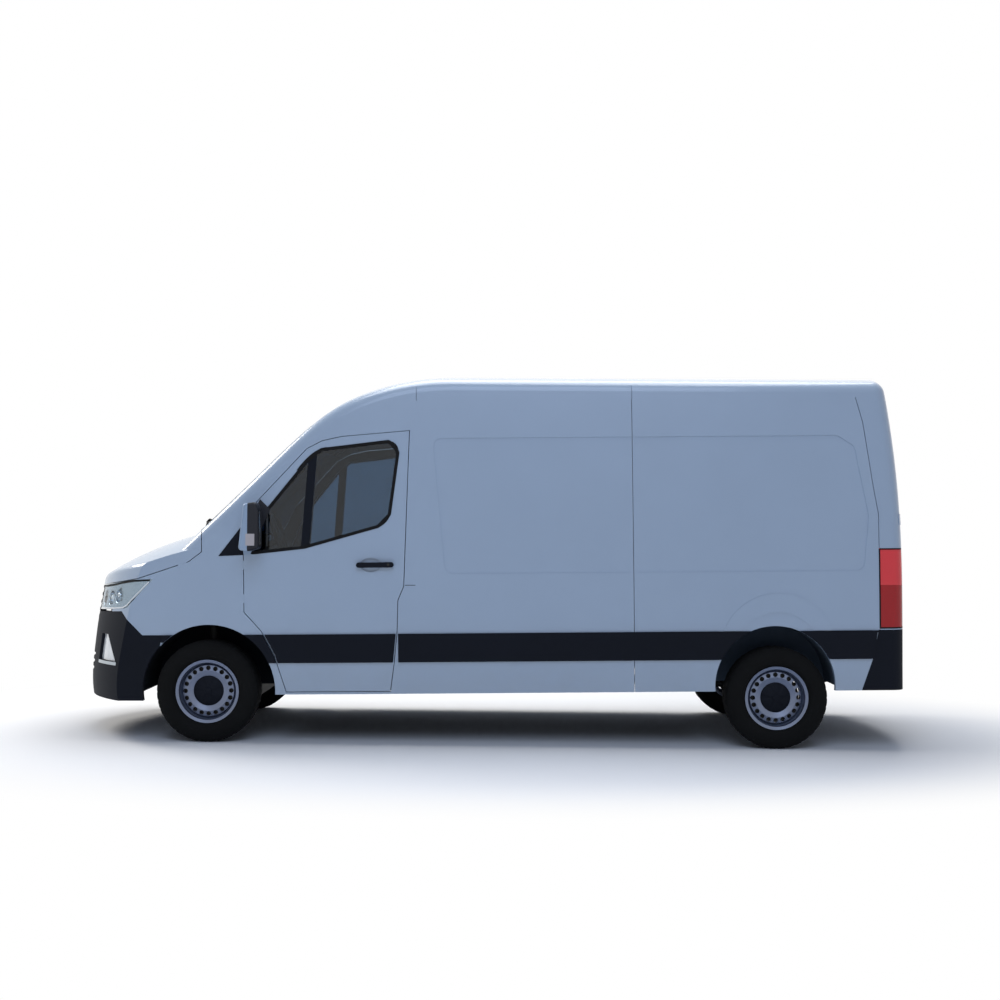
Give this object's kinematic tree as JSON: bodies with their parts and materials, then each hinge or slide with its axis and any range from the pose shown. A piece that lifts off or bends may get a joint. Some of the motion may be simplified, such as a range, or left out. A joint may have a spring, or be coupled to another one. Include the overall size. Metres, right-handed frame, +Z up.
{
  "type": "refrigerated panel van",
  "caption": "Long high-roof panel van with an insulated load space, hinged cab, rear and hood panels, steered front wheels and free-turning wheels.",
  "frame": {"origin": "on the ground under the middle of the vehicle's length and width", "axes": "+X towards the nose, +Y towards the vehicle's left side, +Z up"},
  "size_m": [5.9302, 2.34, 2.6229],
  "materials": {
    "paint": "gloss",
    "bumper_plastic": "grained",
    "liner_plastic": "matt",
    "lamp_clear": "clear lens",
    "lamp_housing": "bright reflector",
    "bare_steel": "dull",
    "lamp_red": "red lens",
    "glass": "polished",
    "underbody": "matt underseal",
    "lining": "smooth glass-fibre sheet",
    "evaporator_cover": "satin",
    "chassis_black": "black paint",
    "engine_metal": "raw",
    "cab_plastic": "grained",
    "seat_fabric": "woven",
    "tyre": "matt",
    "rim_steel": "silver paint"
  },
  "bodies": {
    "chassis": {"arch_liners": "liner_plastic", "bulkhead": "lining", "cab_frame": "paint", "cowl": "bumper_plastic", "dashboard": "cab_plastic", "engine": "engine_metal", "evaporator": "evaporator_cover", "exhaust": "bare_steel", "floor": "underbody", "front_bumper": "bumper_plastic", "front_subframe": "chassis_black", "front_wing_left": "paint", "front_wing_right": "paint", "fuel_tank": "liner_plastic", "grille": "bumper_plastic", "headlamp_left": "lamp_housing", "headlamp_lens_left": "lamp_clear", "headlamp_lens_right": "lamp_clear", "headlamp_right": "lamp_housing", "load_lining": "lining", "radiator": "engine_metal", "rear_axle": "chassis_black", "rear_bumper": "bumper_plastic", "rear_corner_left": "paint", "rear_corner_right": "paint", "roof": "paint", "seat_bench": "seat_fabric", "seat_driver": "seat_fabric", "side_panel_left_front": "paint", "side_panel_left_rear": "paint", "side_panel_right_rear": "paint", "side_trim_left": "bumper_plastic", "side_trim_right": "bumper_plastic", "sliding_door": "paint", "steering_wheel": "cab_plastic", "tail_lamp_left": "lamp_red", "tail_lamp_right": "lamp_red", "windscreen": "glass"},
    "hood": {"hood": "paint"},
    "cab_door_left": {"cab_door_left": "paint", "door_glass_left": "glass", "door_trim_left": "bumper_plastic", "mirror_left": "bumper_plastic"},
    "rear_door_left": {"rear_door_left": "paint"},
    "knuckle_left": {"knuckle_left": "chassis_black"},
    "wheel_front_left": {"tyre_front_left": "tyre", "rim_front_left": "rim_steel"},
    "wheel_rear_left": {"tyre_rear_left": "tyre", "rim_rear_left": "rim_steel"},
    "cab_door_right": {"cab_door_right": "paint", "door_glass_right": "glass", "door_trim_right": "bumper_plastic", "mirror_right": "bumper_plastic"},
    "rear_door_right": {"rear_door_right": "paint"},
    "knuckle_right": {"knuckle_right": "chassis_black"},
    "wheel_front_right": {"tyre_front_right": "tyre", "rim_front_right": "rim_steel"},
    "wheel_rear_right": {"tyre_rear_right": "tyre", "rim_rear_right": "rim_steel"}
  },
  "joints": [
    {"name": "steering_left", "type": "hinge", "parent": "chassis", "child": "knuckle_left", "pos_m": [1.962, 0.675, 0.35], "axis": [0.0191, 0, 0.9998], "range_deg": [-35, 35]},
    {"name": "wheel_spin_front_left", "type": "hinge", "parent": "knuckle_left", "child": "wheel_front_left", "pos_m": [1.962, 0.838, 0.35], "axis": [0, 1, 0], "continuous": true},
    {"name": "wheel_spin_rear_left", "type": "hinge", "parent": "chassis", "child": "wheel_rear_left", "pos_m": [-1.96272, 0.858, 0.35], "axis": [0, 1, 0], "continuous": true},
    {"name": "cab_door_swing_left", "type": "hinge", "parent": "chassis", "child": "cab_door_left", "pos_m": [1.71247, 0.992, 1.00489], "axis": [-0.0191, 0, -0.9998], "range_deg": [0, 70]},
    {"name": "rear_door_swing_left", "type": "hinge", "parent": "chassis", "child": "rear_door_left", "pos_m": [-2.8547, 0.872, 1.09218], "axis": [-0.0191, 0, -0.9998], "range_deg": [0, 180]},
    {"name": "steering_right", "type": "hinge", "parent": "chassis", "child": "knuckle_right", "pos_m": [1.962, -0.675, 0.35], "axis": [0.0191, 0, 0.9998], "range_deg": [-35, 35]},
    {"name": "wheel_spin_front_right", "type": "hinge", "parent": "knuckle_right", "child": "wheel_front_right", "pos_m": [1.962, -0.838, 0.35], "axis": [0, 1, 0], "continuous": true},
    {"name": "wheel_spin_rear_right", "type": "hinge", "parent": "chassis", "child": "wheel_rear_right", "pos_m": [-1.96272, -0.858, 0.35], "axis": [0, 1, 0], "continuous": true},
    {"name": "cab_door_swing_right", "type": "hinge", "parent": "chassis", "child": "cab_door_right", "pos_m": [1.71247, -0.992, 1.00489], "axis": [0.0191, 0, 0.9998], "range_deg": [0, 70]},
    {"name": "rear_door_swing_right", "type": "hinge", "parent": "chassis", "child": "rear_door_right", "pos_m": [-2.8547, -0.872, 1.09218], "axis": [0.0191, 0, 0.9998], "range_deg": [0, 180]},
    {"name": "hood_lift", "type": "hinge", "parent": "chassis", "child": "hood", "pos_m": [1.96283, 0, 1.44018], "axis": [0, -1, 0], "range_deg": [0, 50]}
  ],
  "couplings": [
    {"joint": "steering_right", "follows": "steering_left", "ratio": 1}
  ]
}
